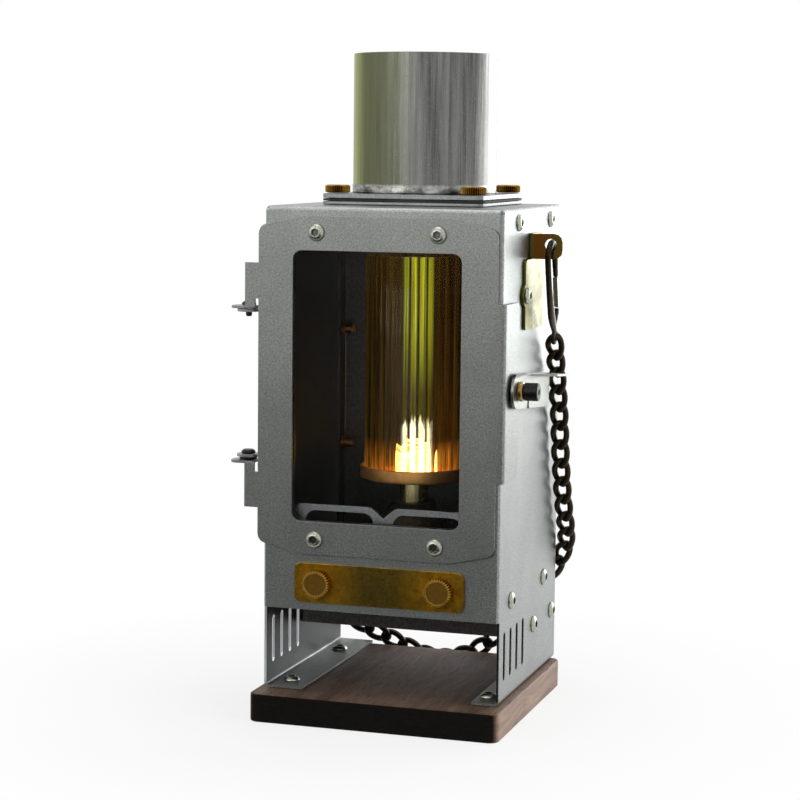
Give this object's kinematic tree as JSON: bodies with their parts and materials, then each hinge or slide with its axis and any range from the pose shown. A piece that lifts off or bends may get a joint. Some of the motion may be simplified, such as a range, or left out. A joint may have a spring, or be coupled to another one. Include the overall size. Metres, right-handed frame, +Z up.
{
  "type": "stove-shaped lantern case",
  "caption": "Small lantern shaped like a wood stove: folded steel box on a walnut board, arched glazed door, side latch, round chimney, carrying chain, lamp with fluted glass inside.",
  "frame": {"origin": "Underside of the walnut board, below the middle of the folded box", "axes": "+Z up; the door faces -Y; +X is towards the latch side"},
  "size_m": [0.1418, 0.1258, 0.3003],
  "materials": {
    "walnut": "oiled walnut",
    "shell_steel": "tumbled, fine grainy steel",
    "inner_steel": "plain cold-rolled sheet steel",
    "chimney_steel": "steel brushed along the tube",
    "screw_steel": "bright steel",
    "black_oxide": "black oxide steel",
    "chain_bronze": "dark antique bronze plating",
    "brass": "brushed brass",
    "seal": "black sealing sheet",
    "window_glass": "clear flat pane",
    "amber_glass": "fluted amber glass",
    "lamp_light": "frosted warm diffuser"
  },
  "bodies": {
    "case": {"base_board": "walnut", "outer_shell": "shell_steel", "rear_panel": "inner_steel", "floor_tray": "inner_steel", "rear_shelf": "inner_steel", "roof_frame": "inner_steel", "log_guard": "inner_steel", "chimney_tube": "chimney_steel", "chimney_flange": "chimney_steel", "chimney_gasket": "seal", "chimney_frame": "chimney_steel", "chimney_screw_1": "brass", "chimney_screw_2": "brass", "chimney_screw_3": "brass", "chimney_screw_4": "brass", "foot_screw_1": "screw_steel", "foot_screw_2": "screw_steel", "foot_screw_3": "screw_steel", "foot_screw_4": "screw_steel", "hinge_bracket_upper": "shell_steel", "hinge_bracket_lower": "shell_steel", "hinge_bolt_upper": "black_oxide", "hinge_bolt_lower": "black_oxide", "hinge_washer_lower": "black_oxide", "catch_stud": "black_oxide", "nameplate": "brass", "nameplate_screw_1": "brass", "nameplate_screw_2": "brass", "chain_bracket_left": "brass", "chain_bracket_right": "brass", "bracket_screw_left": "screw_steel", "bracket_screw_right": "screw_steel"},
    "door": {"door_plate": "shell_steel", "window_glass": "window_glass", "window_gasket": "seal", "window_retainer": "inner_steel", "door_screw_1": "screw_steel", "door_screw_2": "screw_steel", "door_screw_3": "screw_steel", "door_screw_4": "screw_steel", "latch_spacer": "black_oxide", "latch_bush": "brass", "latch_knob": "black_oxide"},
    "latch": {"latch_lever": "shell_steel"},
    "chain_bail": {"snap_hook_left": "chain_bronze", "snap_hook_right": "chain_bronze", "chain": "chain_bronze"},
    "gate_left": {"hook_gate_left": "screw_steel"},
    "gate_right": {"hook_gate_right": "screw_steel"},
    "lamp": {"lamp_base": "black_oxide", "lamp_collar": "brass", "gallery_ring": "brass", "lamp_emitter": "lamp_light"},
    "lamp_glass": {"fluted_glass": "amber_glass"}
  },
  "joints": [
    {"name": "door_hinge", "type": "hinge", "parent": "case", "child": "door", "pos_m": [-0.0638, -0.0487, 0.15], "axis": [0, 0, -1], "range_deg": [0, 110]},
    {"name": "latch_pivot", "type": "hinge", "parent": "door", "child": "latch", "pos_m": [0.0582, -0.04, 0.152], "axis": [1, 0, 0], "range_deg": [0, 12]},
    {"name": "chain_swing", "type": "hinge", "parent": "case", "child": "chain_bail", "pos_m": [0, -0.0084, 0.2149], "axis": [1, 0, 0], "range_deg": [0, 7]},
    {"name": "gate_right_pivot", "type": "hinge", "parent": "chain_bail", "child": "gate_right", "pos_m": [0.0627, 0.014, 0.1865], "axis": [0.9968, 0, -0.0802], "range_deg": [0, 22], "stiffness_Nm_per_rad": 0.002, "springref_deg": -11.46},
    {"name": "gate_left_pivot", "type": "hinge", "parent": "chain_bail", "child": "gate_left", "pos_m": [-0.0627, 0.014, 0.1865], "axis": [0.9968, 0, 0.0802], "range_deg": [0, 22], "stiffness_Nm_per_rad": 0.002, "springref_deg": -11.46},
    {"name": "lamp_lift", "type": "slide", "parent": "case", "child": "lamp", "axis": [0, 0, 1], "range_m": [0, 0.01]},
    {"name": "glass_lift", "type": "slide", "parent": "lamp", "child": "lamp_glass", "axis": [0, 0, 1], "range_m": [0, 0.007]}
  ]
}
